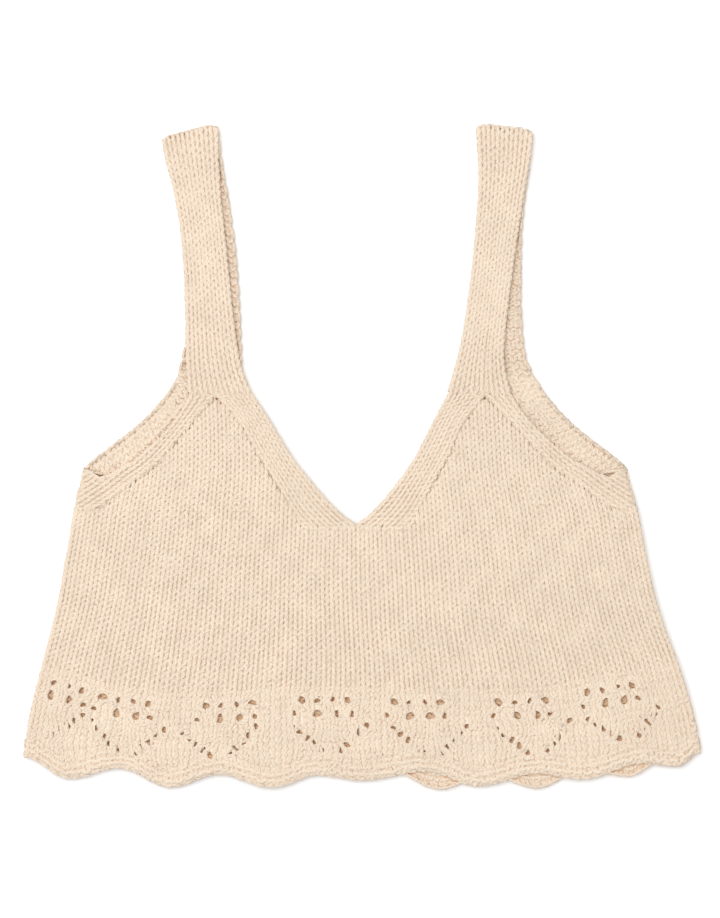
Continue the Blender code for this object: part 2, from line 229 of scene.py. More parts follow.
def ripple(along, across, length, bend, bend_length):
    """A wave that runs one way, with crests that bend as they go the other way."""
    return np.sin(along / length + bend * np.sin(across / bend_length))


def uneven(x, up):
    """The small drift of hand knitting off its even grid, sideways and upwards."""
    aside = ripple(x, up, 17, 2.1, 29) + ripple(up, x, 13, 1.7, 37)
    above = ripple(x, up, 11, 1.3, 19) + ripple(up, x, 23, 2.3, 31)
    return DRIFT * aside, DRIFT * above


hand = np.random.default_rng(7)  # the knitter's hand, for how uneven the stitches are


def loops(place, columns, row, purl=False, reach=LOOP_REACH, unevenness=UNEVENNESS):
    """The yarn of one course of stitches, as points and normals.

    Each stitch is a loop: its foot goes behind at the column's edge, its legs come forward in a
    V, and its head goes behind again in the middle. Seen from the purl side it is the other way
    round. place lays columns and rows out as cloth.
    """
    stitches = np.arange(COLUMNS + SPARE_SIZES)
    sizes = hand.normal(1, unevenness, (3, len(stitches)))
    wide, tall, deep = (np.interp(columns, stitches, size) for size in sizes)
    turn = 2 * pi * columns
    sway = LOOP_SWAY * wide * np.sin(2 * turn)
    points, normals = place(columns + sway, row + 0.5 - reach * tall * np.cos(turn))
    proud = LOOP_DEPTH * deep * np.cos(2 * turn) * (1 if purl else -1)
    return points + proud[:, None] * normals, normals


def trace(at, length, line):
    """A line's values at lengths along it, carried straight on beyond its ends."""
    within = np.clip(at, length[0], length[-1])
    first, last = np.diff(line[:2]) / np.diff(length[:2]), np.diff(line[-2:]) / np.diff(length[-2:])
    return np.interp(within, length, line) + np.where(at < length[0], first, last) * (at - within)


def runs_of(inside):
    """The first and last index of each unbroken run of True."""
    edges = np.flatnonzero(np.diff(np.r_[0, inside.astype(int), 0]))
    return list(zip(edges[::2], edges[1::2] - 1))


def knit(place, width, rows, inside=None, **stitch):
    """Every course of a piece, where inside says that its middle line lies within the piece."""
    columns = np.arange(round(width * POINTS_A_STITCH) + 1) / POINTS_A_STITCH
    courses = []
    for row in rows:
        points, _ = place(columns, np.full(len(columns), row + 0.5))
        within = inside(columns, row + 0.5) if inside else np.full(len(columns), True)
        for first, last in runs_of(within):
            if last - first >= POINTS_A_STITCH / 2:
                courses.append(loops(place, columns[first : last + 1], row, **stitch))
    return courses


def joined(courses):
    """One yarn that goes back and forth along the courses, turning at the edges."""
    ways = [1, -1] * len(courses)
    points = [points[::way] for (points, _), way in zip(courses, ways)]
    normals = [normals[::way] for (_, normals), way in zip(courses, ways)]
    return [(np.vstack(points), np.vstack(normals))]


def spun(x, up):
    """The yarn's width as it is spun, a little thick and thin, as a share of its usual one."""
    return 1 + THICK_AND_THIN * np.sin(x / 3.7 + 2 * np.sin(up / 5.3) + np.sin(x / 13))


def yarn_mesh(name, courses, fullness):
    """One mesh of yarn along every course, with maps along and round the yarn."""
    verts, quads, along, around = [], [], [], []
    corners = np.arange(YARN_SIDES)
    angle = 2 * pi * corners / YARN_SIDES
    first = 0
    for points, normals in courses:
        ahead = np.gradient(points, axis=0)
        ahead /= np.linalg.norm(ahead, axis=1)[:, None]
        aside = np.cross(ahead, normals)
        aside /= np.linalg.norm(aside, axis=1)[:, None]
        over = np.cross(aside, ahead)
        x, up, _ = points.T
        width = (YARN_WIDTH * fullness * spun(x, up))[:, None, None]
        ring = width / 2 * np.cos(angle)[:, None] * aside[:, None]
        ring = ring + YARN_HEIGHT / 2 * np.sin(angle)[:, None] * over[:, None]
        verts.append((points[:, None] + ring).reshape(-1, 3))
        rings = first + YARN_SIDES * np.arange(len(points) - 1)[:, None]
        here, turned = rings + corners, rings + (corners + 1) % YARN_SIDES
        ahead_of = [here, here + YARN_SIDES, turned + YARN_SIDES, turned]
        quads.append(np.stack(ahead_of, -1).reshape(-1, 4))
        length = np.r_[0, np.cumsum(np.linalg.norm(np.diff(points, axis=0), axis=1))]
        ends = np.stack([length[:-1], length[1:], length[1:], length[:-1]], -1)
        along.append(np.repeat(ends, YARN_SIDES, axis=0))
        around.append(np.tile((corners[:, None] + [0, 0, 1, 1]) / YARN_SIDES, (len(points) - 1, 1)))
        first += len(points) * YARN_SIDES
    mesh = bpy.data.meshes.new(name)
    mesh.from_pydata(np.vstack(verts) * MM, [], np.vstack(quads))
    mesh.polygons.foreach_set("use_smooth", np.ones(len(mesh.polygons), bool))
    along, around = np.vstack(along), np.vstack(around)
    ply_map = mesh.uv_layers.new(name="Ply")
    ply_map.data.foreach_set("uv", np.stack([along, around], -1).ravel())
    lay_out_map(mesh, around)
    bm = bmesh.new()
    bm.from_mesh(mesh)
    ends = [edge for edge in bm.edges if edge.is_boundary]
    bmesh.ops.holes_fill(bm, edges=ends, sides=YARN_SIDES)
    bm.to_mesh(mesh)
    bm.free()
    return mesh


def lay_out_map(mesh, around):
    """A second map, with the yarn cut into equal lengths that lie side by side."""
    rings = len(around) // YARN_SIDES
    a_length = int(np.ceil(np.sqrt(rings * 2 * pi)))
    lengths = int(np.ceil(rings / a_length))
    ring = np.repeat(np.arange(rings), YARN_SIDES)[:, None]
    along = (ring % a_length + [0, 1, 1, 0]) / a_length
    across = (ring // a_length + MAP_MARGIN + (1 - 2 * MAP_MARGIN) * around) / lengths
    spread = mesh.uv_layers.new(name="OFBake")
    spread.data.foreach_set("uv", np.stack([along, across], -1).ravel())


def add_object(name, data):
    thing = bpy.data.objects.new(name, data)
    bpy.context.scene.collection.objects.link(thing)
    return thing


def add_yarn(name, courses, material, fullness=1.0):
    """One piece of stitches, its yarn's width being fullness times the usual."""
    yarn = add_object(name, yarn_mesh(name, courses, fullness))
    yarn.data.materials.append(material)
    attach(yarn, "root")
    return yarn


Cut = namedtuple("Cut", "width length area")  # of a piece laid flat, in metres


def add_ground(node, material, held, thickness=GROUND, trim=None):
    """The thin middle of the cloth, where its loops cross, inside the CAD solid's outline."""
    bm = bmesh.new()
    bm.from_mesh(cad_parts[node].data)
    bmesh.ops.remove_doubles(bm, verts=bm.verts, dist=WELD * MM)
    bm.normal_update()
    heights = [vert.co.z for vert in bm.verts]
    middle = (min(heights) + max(heights)) / 2
    for vert in bm.verts:
        if held == "laid":
            vert.co.z = middle + (vert.co.z - middle) * thickness / WALL
        else:
            vert.co -= vert.normal * (WALL - thickness) / 2 * MM
    mesh = bpy.data.meshes.new(node + "_ground")
    bm.to_mesh(mesh)
    bm.free()
    mesh.materials.append(material)
    cloth = add_object(node + "_ground", mesh)
    if trim:
        trim(cloth)
    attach(cloth, "root")
    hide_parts(node)


def cotton(name, colour, shade_painted_below):
    """Matt cotton yarn: plied, a little fuzzy, and slightly uneven in colour.

    Painted shade: its colour is warmed and darkened towards WARM_SHADE where less than the share
    shade_painted_below of the light around reaches it.
    """
    material = bpy.data.materials.new(name)
    material.use_nodes = True
    nodes, links = material.node_tree.nodes, material.node_tree.links
    shader = nodes["Principled BSDF"]
    shader.inputs["Roughness"].default_value = 0.95
    shader.inputs["Specular IOR Level"].default_value = 0.2
    shader.inputs["Sheen Weight"].default_value = 0.35
    shader.inputs["Sheen Roughness"].default_value = 0.6
    shader.inputs["Sheen Tint"].default_value = (1.0, 0.86, 0.78, 1)

    place = nodes.new("ShaderNodeTexCoord")
    blotches = nodes.new("ShaderNodeTexNoise")
    blotches.inputs["Scale"].default_value = BLOTCHES
    blotches.inputs["Detail"].default_value = 3.0
    links.new(place.outputs["Object"], blotches.inputs["Vector"])
    tint = nodes.new("ShaderNodeValToRGB")
    for end, position, share in zip(tint.color_ramp.elements, BLOTCH_ENDS, BLOTCH_SHADES):
        end.position = position
        end.color = (*(min(share * value, 1) for value in colour), 1)
    links.new(blotches.outputs["Fac"], tint.inputs["Fac"])

    # Painted shade: where the ambient occlusion finds little light around, the base colour is
    # warmed and darkened towards WARM_SHADE, standing in for light that has gone from fibre to
    # fibre between the stitches.
    openness = nodes.new("ShaderNodeAmbientOcclusion")
    openness.samples = 8
    openness.inputs["Distance"].default_value = LIGHT_DISTANCE * MM
    painted_shade_share = nodes.new("ShaderNodeMapRange")
    painted_shade_share.interpolation_type = "SMOOTHSTEP"
    painted_shade_share.inputs["From Min"].default_value = shade_painted_below
    painted_shade_share.inputs["From Max"].default_value = FULLEST_SHADE_AT
    links.new(openness.outputs["AO"], painted_shade_share.inputs["Value"])
    painted_shade_colour = nodes.new("ShaderNodeMix")
    painted_shade_colour.data_type = "RGBA"
    painted_shade_colour.inputs["B"].default_value = (*WARM_SHADE, 1)
    links.new(painted_shade_share.outputs["Result"], painted_shade_colour.inputs["Factor"])
    links.new(tint.outputs["Color"], painted_shade_colour.inputs["A"])
    links.new(painted_shade_colour.outputs["Result"], shader.inputs["Base Color"])

    fuzz = nodes.new("ShaderNodeTexNoise")
    fuzz.inputs["Scale"].default_value = FIBRES
    fuzz.inputs["Detail"].default_value = 3.0
    links.new(place.outputs["Object"], fuzz.inputs["Vector"])
    fibres = nodes.new("ShaderNodeBump")
    fibres.inputs["Strength"].default_value = 0.7
    fibres.inputs["Distance"].default_value = FIBRE_DEPTH * MM
    links.new(fuzz.outputs["Fac"], fibres.inputs["Height"])

    yarn_map = nodes.new("ShaderNodeUVMap")
    yarn_map.uv_map = "Ply"
    along_and_around = nodes.new("ShaderNodeSeparateXYZ")
    links.new(yarn_map.outputs["UV"], along_and_around.inputs["Vector"])
    turns = nodes.new("ShaderNodeMath")
    turns.operation = "MULTIPLY"
    turns.inputs[1].default_value = 2 * pi / TWIST
    links.new(along_and_around.outputs["X"], turns.inputs[0])
    phase = nodes.new("ShaderNodeMath")
    phase.operation = "MULTIPLY_ADD"
    phase.inputs[1].default_value = 2 * pi * PLIES
    links.new(along_and_around.outputs["Y"], phase.inputs[0])
    links.new(turns.outputs["Value"], phase.inputs[2])
    wave = nodes.new("ShaderNodeMath")
    wave.operation = "COSINE"
    links.new(phase.outputs["Value"], wave.inputs[0])
    plies = nodes.new("ShaderNodeBump")
    plies.inputs["Strength"].default_value = 0.6
    plies.inputs["Distance"].default_value = PLY_DEPTH * MM
    links.new(wave.outputs["Value"], plies.inputs["Height"])
    links.new(plies.outputs["Normal"], fibres.inputs["Normal"])
    links.new(fibres.outputs["Normal"], shader.inputs["Normal"])
    return material


PLIES = 4
TWIST = 2.4  # length of yarn in which the plies come round by one ply
PLY_DEPTH = 0.25
FIBRES = 1500.0  # to the metre
FIBRE_DEPTH = 0.5
BLOTCHES = 60.0  # to the metre
BLOTCH_ENDS = (0.3, 0.7)  # of the noise
BLOTCH_SHADES = (0.965, 1.035)  # of the cotton's colour
LIGHT_DISTANCE = 6.0  # how far off another stitch still takes light away
# Painted shade: where little light reaches the cotton, its colour is warmed and darkened towards
# WARM_SHADE, the colour of that painted shade.
PAINTED_SHADE_BELOW = 0.38
FULLEST_SHADE_AT = 0.1  # the share of the light at which the painted shade is fullest
CREAM = (0.785, 0.655, 0.52)
WARM_SHADE = (0.9, 0.555, 0.285)
# Painted shade: the ground between the stitches is a darker, shaded copy of the cream, so the gaps
# between the loops read as shadow.
SHADED_CREAM = (0.67, 0.535, 0.405)
cream_cotton = cotton("cream_cotton", CREAM, PAINTED_SHADE_BELOW)
crossing_loops = cotton("crossing_loops", SHADED_CREAM, PAINTED_SHADE_BELOW)

FURROW_DEPTH = 2.2
FURROW_WIDTH = 0.9
FURROW_BELOW = 1.7  # how far below the band's last loops its bottom lies
FURROW_CLEAR = 3.2  # how far below them the ground stops, so that only sunk loops cross it
FURROW_FADES = 14.0  # how far from the side and the V's level bottom a furrow grows shallow
SHALLOWEST = 0.2  # share of its depth that it keeps there
TUCKED_UNDER = 2.2  # how far the body's last loops reach under the bands
PUCKER = ((-98.3, 39.9), (-95.4, 31.5))  # a slit in the front where its left furrows meet
PUCKER_DEPTH = 1.8
BODY_ROWS = 50
PIECE_ROWS = 16  # the stitches are kept as two pieces, below and above this row
LAST_ROW = 0.4  # rows by which a course may lie past the furrow and still be knitted

for layer in (BACK, FRONT):
    furrow = furrow_line(layer)

    def body_up(across, rows):
        """The height of a row, before the furrow ends it."""
        rise = read(SEAM_LIFT, "rise", across) * np.clip(1 - rows / LEVEL_ROW, 0, 1)
        return BORDER_SEAM_UP + rise + ROW * rows

    def body_point(columns, rows):
        """Where a place in the panel's stitches lies, and which way it faces."""
        across = columns / (COLUMNS / 2) - 1
        top = np.interp(np.abs(across), *furrow)
        up = np.minimum(body_up(across, rows), top + TUCKED_UNDER)
        x = read(BODY_LIE, layer.centre, up) + across * half_width(up)
        drift_x, drift_up = uneven(x, up)
        from_side = (1 - np.abs(across)) * half_width(up)
        drop, sine, cosine = curl(from_side)
        from_ends = np.minimum(from_side, np.abs(x) - layer.neck[NECK_SLOPES_FROM].furrow_out)
        depth = FURROW_DEPTH * np.clip(from_ends / FURROW_FADES, SHALLOWEST, 1)
        height = WALL / 2 - drop - hollow(top - up - FURROW_BELOW, depth, FURROW_WIDTH)
        if layer is FRONT:
            (top_x, top_up), (end_x, end_up) = PUCKER
            along = np.clip((up - top_up) / (end_up - top_up), 0, 1)
            apart_x = x - top_x - along * (end_x - top_x)
            apart_up = up - top_up - along * (end_up - top_up)
            height = height - hollow(np.hypot(apart_x, apart_up), PUCKER_DEPTH, FURROW_WIDTH)
        z = layer.inside + layer.side * height
        normals = np.stack([np.sign(across) * sine, 0 * sine, layer.side * cosine], -1)
        return np.stack([x + drift_x, up + drift_up, z], -1), normals

    def within_body(columns, row):
        """Whether a course's middle line lies below the furrow."""
        across = columns / (COLUMNS / 2) - 1
        return body_up(across, row) < np.interp(np.abs(across), *furrow) + LAST_ROW * ROW

    def clear_furrow(cloth):
        """Moves the ground's edge down out of the furrow."""
        for vert in cloth.data.vertices:
            up = vert.co.y / MM
            out = abs(vert.co.x / MM - read(BODY_LIE, layer.centre, up))
            top = np.interp(out / half_width(up), *furrow)
            from_ends = min(half_width(up) - out, out - layer.neck[NECK_SLOPES_FROM].furrow_out)
            if from_ends > FURROW_FADES and up > top - FURROW_CLEAR:
                vert.co.y -= FURROW_CLEAR * MM

    name = layer.name + "_body"
    stitches = []
    for part, rows in (("lower", range(PIECE_ROWS)), ("upper", range(PIECE_ROWS, BODY_ROWS))):
        courses = knit(body_point, COLUMNS, rows, within_body)
        stitches.append(add_yarn(f"{name}_{part}_stitches", courses, cream_cotton))
    # The body's ground has the darker painted shade.
    add_ground(name, crossing_loops, "laid", trim=clear_furrow)


# ---- The lace borders ------------------------------------------------------------------------
# The hem of each panel, where the knitting starts: three ridges of garter stitch that wave up
# and down, then leaves of eyelets. An eyelet is a yarn-over, which leaves a hole between its
# neighbours, beside two stitches knitted together.

GARTER_EDGE = 13.0  # from the hem up to the last ridge
GARTER_COURSES = 6
LACE_COURSES = 11
GARTER_REACH = 1.25  # as LOOP_REACH, for loops that are taller
CAST_ON_POINTS = 4  # of its yarn, for each stitch
RIDGE_HEIGHT = 0.15
WAVE_DEPTH = 0.7  # of the groove between garter and lace
LACE_UNEVENNESS = 0.27
LACE_FULLNESS = 1.03  # the yarn's width, where the stitches are looser and it springs open
# Painted shade: the lace's cotton is warmed and darkened from a higher share of light around, which
# paints its eyelets browner.
LACE_PAINTED_SHADE_BELOW = 0.62
LACE_GROUND = 1.2  # thickness
LEAN = 3.6  # how far the columns lean in towards a leaf's point
LEAN_LOW = 1.5  # above 1, they lean most in the lower half of the lace
HEM_YARN = 0.4  # how far in from the hem the middle of its yarn lies
FIRST_EYELETS_DOWN = 9.0  # from the border's seam
LEANING_DEPTH = 12.0  # the rows above this depth lean with the leaf's top
OUTERMOST_EYELET = 0.97  # share of the way to the side seam
OUT_OF_ROUND = 0.26  # share by which an eyelet is longer than round
CORNERED = 0.13  # share by which its corners stand out
EYELET_PULL = 5.0  # how far round an eyelet the stitches shift to meet it
PUSHED_WITHIN = 4.0  # times its size, within which an eyelet pushes the stitches aside
TINY = 0.01  # a length that makes no difference
GAP_ROW = 0.88  # where in a row the middle of a stitch is open
PUNCH_SIDES = 12
PUNCH_LENGTH = 20.0
PUNCH_CLEAR = 0.2  # between an eyelet's yarn and the ground
UNDER_CLOTH = 7.0  # the back's eyelets lie at least this far from the front's, under whole cloth

Turn = namedtuple("Turn", "across up")
HEMS = {
    "front": (
        Turn(-1.0, -201.0),
        Turn(-0.869, -215.4),
        Turn(-0.724, -208.0),
        Turn(-0.57, -221.2),
        Turn(-0.43, -212.4),
        Turn(-0.27, -221.6),
        Turn(-0.136, -213.2),
        Turn(0.0, -216.6),
        Turn(0.187, -210.4),
        Turn(0.344, -220.6),
        Turn(0.516, -212.0),
        Turn(0.647, -216.0),
        Turn(0.831, -205.2),
        Turn(0.935, -207.4),
        Turn(1.0, -198.0),
    ),
    "back": (
        Turn(-1.0, -198.0),
        Turn(-0.93, -200.5),
        Turn(-0.807, -199.0),
        Turn(-0.66, -205.5),
        Turn(-0.51, -201.0),
        Turn(-0.36, -208.5),
        Turn(-0.21, -205.0),
        Turn(-0.065, -213.0),
        Turn(0.083, -210.0),
        Turn(0.228, -222.4),
        Turn(0.371, -213.0),
        Turn(0.516, -221.8),
        Turn(0.653, -210.0),
        Turn(0.786, -214.0),
        Turn(0.9, -202.0),
        Turn(1.0, -197.0),
    ),
}
Leaf = namedtuple("Leaf", "across lean")
LEAVES = {
    "front": (
        Leaf(-0.95, 6.0),
        Leaf(-0.7, -3.5),
        Leaf(-0.424, 5.0),
        Leaf(-0.094, -3.3),
        Leaf(0.207, -8.0),
        Leaf(0.516, -5.5),
        Leaf(0.794, -6.0),
    ),
    "back": (
        Leaf(-0.86, 0.0),
        Leaf(-0.56, 3.0),
        Leaf(-0.27, 5.0),
        Leaf(0.04, 4.0),
        Leaf(0.35, 6.0),
        Leaf(0.645, 4.0),
        Leaf(0.91, 0.0),
    ),
}
Eyelet = namedtuple("Eyelet", "out down width")
LEAF_EYELETS = (
    Eyelet(-16.0, 0.0, 5.0),
    Eyelet(-5.5, 0.5, 3.2),
    Eyelet(5.0, 0.0, 3.2),
    Eyelet(15.5, 0.0, 4.6),
    Eyelet(-21.0, 9.0, 2.8),
    Eyelet(-5.5, 9.0, 5.2),
    Eyelet(8.0, 9.0, 5.2),
    Eyelet(17.5, 9.0, 3.4),
    Eyelet(-25.5, 17.5, 2.8),
    Eyelet(-20.8, 21.5, 3.6),
    Eyelet(-16.0, 25.5, 3.6),
    Eyelet(-11.4, 29.5, 3.8),
    Eyelet(-6.7, 33.5, 4.2),
    Eyelet(24.0, 16.0, 3.4),
    Eyelet(19.5, 21.0, 4.4),
    Eyelet(15.0, 25.5, 4.6),
    Eyelet(10.7, 29.5, 4.2),
    Eyelet(7.0, 33.5, 3.4),
)


def hem_up(hem, across):
    """The scalloped hem, in even waves between its tips and hollows."""
    keys, ups = np.array(hem).T
    i = np.clip(np.searchsorted(keys, across, side="right") - 1, 0, len(keys) - 2)
    t = np.clip((across - keys[i]) / (keys[i + 1] - keys[i]), 0, 1)
    return ups[i] + (ups[i + 1] - ups[i]) * (1 - np.cos(pi * t)) / 2


def eyelet_reach(apart_x, apart_up, middle_x, width):
    """How far an eyelet's edge lies from its middle: the yarns pull each one its own way."""
    way = np.arctan2(apart_up, apart_x)
    pull = OUT_OF_ROUND * np.sin(2 * way + middle_x) + CORNERED * np.sin(3 * way + 2 * middle_x)
    return width / 2 * (1 + pull)


def from_eyelets(x, up, eyelets):
    """How far places are from each eyelet's middle, and how far the yarn round it lies."""
    middle_x, middle_up, _, _, width = np.array(eyelets).T
    apart_x, apart_up = x[:, None] - middle_x, up[:, None] - middle_up
    distance = np.hypot(apart_x, apart_up) + TINY
    rim = eyelet_reach(apart_x, apart_up, middle_x, width) + YARN_WIDTH / 2
    return apart_x, apart_up, distance, rim


def opened(x, up, eyelets):
    """The cloth with its eyelets opened: what lies near one is pushed out round it."""
    middle_x, middle_up, gap_x, gap_up, _ = np.array(eyelets).T
    near = np.exp(-((x[:, None] - gap_x) ** 2 + (up[:, None] - gap_up) ** 2) / EYELET_PULL**2)
    near /= np.maximum(near.sum(1), 1)[:, None]
    x = x + near @ (middle_x - gap_x)
    up = up + near @ (middle_up - gap_up)
    apart_x, apart_up, distance, rim = from_eyelets(x, up, eyelets)
    outside = (distance**3 + rim**3) ** (1 / 3)
    pushed = np.where(distance < PUSHED_WITHIN * rim, outside / distance - 1, 0)
    x = x + (apart_x * pushed).sum(1)
    up = up + (apart_up * pushed).sum(1)

    # Where two eyelets push against each other, the nearer one wins.
    apart_x, apart_up, distance, rim = from_eyelets(x, up, eyelets)
    nearest = np.arange(len(x)), (distance - rim).argmin(1)
    pushed = np.maximum(rim[nearest] / distance[nearest] - 1, 0)
    return x + apart_x[nearest] * pushed, up + apart_up[nearest] * pushed


lace_cotton = cotton("lace_cotton", CREAM, LACE_PAINTED_SHADE_BELOW)
seen_through = []
for layer in (FRONT, BACK):
    hem = HEMS[layer.name]
    leaf_middles = [leaf.across for leaf in LEAVES[layer.name]]

    def garter_top(across):
        """The height at which the garter ridges end and the lace begins."""
        return hem_up(hem, across) + GARTER_EDGE

    def border_plan(columns, rows):
        """Where a place in the border's stitches lies before its eyelets are opened."""
        across = columns / (COLUMNS / 2) - 1
        beside_leaf = np.interp(across, leaf_middles, np.arange(len(leaf_middles)))
        lean = LEAN * np.sin(2 * pi * beside_leaf)
        top = garter_top(across)
        share = (rows - GARTER_COURSES) / LACE_COURSES
        garter_up = top + (GARTER_EDGE - HEM_YARN) * (np.maximum(rows, 0) / GARTER_COURSES - 1)
        up = np.where(share > 0, top + (border_seam(across) - top) * share, garter_up)
        x = read(BODY_LIE, layer.centre, up) + across * half_width(up)
        x = x - lean * np.sin(pi * np.clip(1 - share, 0, 1) ** LEAN_LOW) * (share > 0)
        drift_x, drift_up = uneven(x, up)
        return across, x + drift_x, up + drift_up

    eyelets = []
    for leaf in LEAVES[layer.name]:
        for eyelet in LEAF_EYELETS:
            lean = leaf.lean if eyelet.down < LEANING_DEPTH else 0.0
            depth = FIRST_EYELETS_DOWN + eyelet.down
            across = leaf.across + (lean + eyelet.out) / half_width(BORDER_SEAM_UP - depth)
            up = border_seam(across) - depth
            x = read(BODY_LIE, layer.centre, up) + across * half_width(up)
            top = garter_top(across)
            row = GARTER_COURSES + LACE_COURSES * (up - top) / (border_seam(across) - top)
            gap_column = np.array([np.floor((across + 1) * COLUMNS / 2) + 0.5])
            gap_row = np.round(row - GAP_ROW) + GAP_ROW
            _, gap_x, gap_up = border_plan(gap_column, gap_row)
            apart = [np.hypot(x - other[0], up - other[1]) for other in seen_through]
            if abs(across) < OUTERMOST_EYELET and min(apart, default=UNDER_CLOTH) >= UNDER_CLOTH:
                eyelets.append((x, up, gap_x[0], gap_up[0], eyelet.width))
    seen_through = eyelets

    def border_point(columns, rows):
        """Where a place in the border's stitches lies, and which way it faces."""
        across, x, up = border_plan(columns, rows)
        x, up = opened(x, up, eyelets)
        drop, sine, cosine = curl((1 - np.abs(across)) * half_width(up))
        hem_drop, hem_sine, hem_cosine = curl(up - hem_up(hem, across) - HEM_YARN)
        ridges = -RIDGE_HEIGHT * np.cos(pi * rows) * (rows < GARTER_COURSES)
        height = WALL / 2 - np.maximum(drop, hem_drop) + ridges
        height = height - hollow(up - garter_top(across), WAVE_DEPTH, FURROW_WIDTH)
        z = layer.inside + layer.side * height
        facing = layer.side * cosine * hem_cosine
        normals = np.stack([np.sign(across) * sine, -hem_sine, facing], -1)
        return np.stack([x, up, z], -1), normals

    def punch_eyelets(cloth):
        """Cuts the eyelets through the ground."""
        bm = bmesh.new()
        for middle_x, middle_up, _, _, width in eyelets:
            middle = Vector((middle_x, middle_up, layer.inside))
            prism = bmesh.ops.create_cone(
                bm, cap_ends=True, segments=PUNCH_SIDES, radius1=1, radius2=1, depth=PUNCH_LENGTH
            )
            for vert in prism["verts"]:
                reach = eyelet_reach(vert.co.x, vert.co.y, middle_x, width) + PUNCH_CLEAR
                vert.co = (middle + vert.co * Vector((reach, reach, 1))) * MM
        mesh = bpy.data.meshes.new("punch")
        bm.to_mesh(mesh)
        bm.free()
        punch = add_object("punch", mesh)
        punched = cloth.modifiers.new("eyelets", "BOOLEAN")
        punched.object = punch
        punched.operation = "DIFFERENCE"
        punched.use_self = True
        view = bpy.context.evaluated_depsgraph_get()
        cloth.data = bpy.data.meshes.new_from_object(cloth.evaluated_get(view))
        cloth.modifiers.clear()
        bpy.data.objects.remove(punch)

    columns = np.linspace(0, COLUMNS, COLUMNS * CAST_ON_POINTS)
    courses = [border_point(columns, 0 * columns)]
    for row in range(GARTER_COURSES):
        stitch = {"purl": row % 2 == 0, "reach": GARTER_REACH, "unevenness": LACE_UNEVENNESS}
        courses += knit(border_point, COLUMNS, [row], **stitch)
    lace_rows = range(GARTER_COURSES, GARTER_COURSES + LACE_COURSES)
    courses += knit(border_point, COLUMNS, lace_rows, unevenness=LACE_UNEVENNESS)
    name = layer.name + "_lace_border"
    stitches = [add_yarn(name + "_stitches", courses, lace_cotton, LACE_FULLNESS)]
    add_ground(name, lace_cotton, "laid", LACE_GROUND, punch_eyelets)


# ---- The neck and armhole bands --------------------------------------------------------------
# The edges of the panels, knitted on with them and kept at full width while the panel beside them
# is decreased away: four columns along the neck and the back's armholes, and three along the
# front's. There the outermost rolls right under, and only the two that show are made.

BAND_COLUMNS = {"front_neck": 4, "front_armhole": 2, "back_neck": 4, "back_armhole": 4}
SPARE_COLUMNS = 1  # knitted where the furrow leaves room for them beyond a band's last
UNDERARM_COLUMNS = 4  # bound off below the front's armhole, beyond the band
UNDERARM_ROWS = 3  # courses before the band's own first one
UNDERARM_FROM = 160.0  # from here outwards the free edge is the bound-off one
UNDERARM_SLANT = 0.85  # the cosine of the edge's slope there
BOUND_OFF_FROM = 179.5  # how far out the bound-off edge's last yarn starts
BOUND_OFF_TO = 150.0
BOUND_OFF_IN = 0.5  # how far in from the edge the middle of the last yarn lies
BOUND_OFF_POINTS = 60
UNDERARM = (
    Section(184.5, -27.5, 178.0, -37.6),
    Section(177.5, -22.9, 171.0, -33.0),
    Section(168.0, -16.8, 161.0, -26.5),
)
SLANTED_FROM = 3  # the neck band's section from which it keeps its slant down to the V's point
BAND_FURROW_DEPTH = 0.3  # at the band's last column
SECOND_FURROW_DEPTH = 0.85  # a column nearer the free edge
A_COLUMN = 5.0
NEAR_CENTRE = 0.6  # how near the top's centre line the neck bands' stitches come
ABOVE_FURROW = 0.4  # how far above the body's furrow the lowest of a band's stitches are held
BAND_STEPS = 20  # between one section and the next

# How far a course may lie past the furrow and the side, and how near the centre line, and still
# be knitted.
PAST_FURROW = 0.8
PAST_SIDE = 1.0
FROM_CENTRE = 0.3

FRONT_FULLNESS = 0.9  # the yarn's width, where its stitches are drawn in
BACK_FULLNESS = 1.18  # and where their purl side shows


def band_lines(rows, is_neck):
    """A band's free edge and its last column's far side, at fine steps along it."""
    index = np.arange(len(rows))
    edge = np.array([(row.edge_out, row.edge_up) for row in rows])
    far = np.array([(row.furrow_out, row.furrow_up) for row in rows])
    if is_neck:
        far[:SLANTED_FROM] = edge[:SLANTED_FROM] + far[SLANTED_FROM] - edge[SLANTED_FROM]
    steps = np.linspace(0, len(rows) - 1, BAND_STEPS * len(rows))
    lines = [smooth(index, values, steps) for values in (*edge.T, *far.T)]
    middle_x, middle_up = (lines[0] + lines[2]) / 2, (lines[1] + lines[3]) / 2
    length = np.r_[0, np.cumsum(np.hypot(np.diff(middle_x), np.diff(middle_up)))]
    return length, lines


